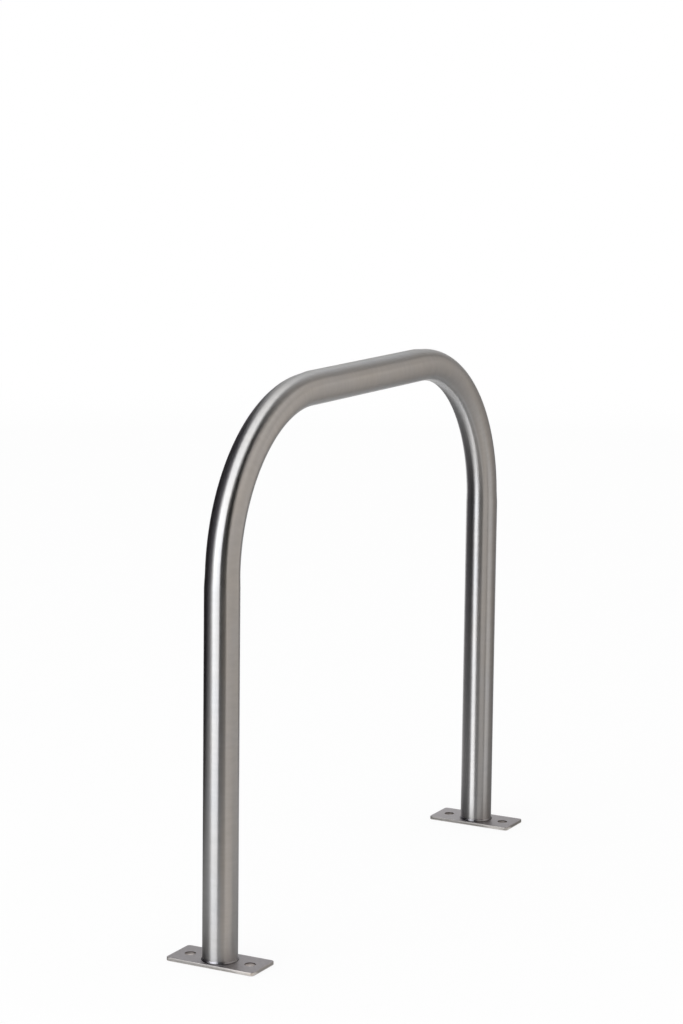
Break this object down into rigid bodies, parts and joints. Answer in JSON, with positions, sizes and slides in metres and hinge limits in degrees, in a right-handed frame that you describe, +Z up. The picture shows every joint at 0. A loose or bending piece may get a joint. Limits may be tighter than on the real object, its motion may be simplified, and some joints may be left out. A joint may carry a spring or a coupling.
{
  "type": "bike parking stand",
  "caption": "Inverted-U bike parking stand: a bent round stainless tube welded at each foot to a flat plate with anchor holes.",
  "frame": {"origin": "on the ground, midway between the legs, under the middle of the crown", "axes": "+Z up; the hoop lies in the X-Z plane with a leg at -X and a leg at +X; the long sides of the foot plates run along Y"},
  "size_m": [0.86, 0.135, 0.775],
  "materials": {
    "satin_tube": "satin, polished round the tube with fine grit",
    "foot_plate": "pickled matt flat bar with broken edges",
    "weld": "smooth weld bead, pickled"
  },
  "bodies": {
    "root": {"hoop_tube": "satin_tube", "base_plate_left": "foot_plate", "base_plate_right": "foot_plate", "weld_bead_left": "weld", "weld_bead_right": "weld"}
  },
  "joints": []
}
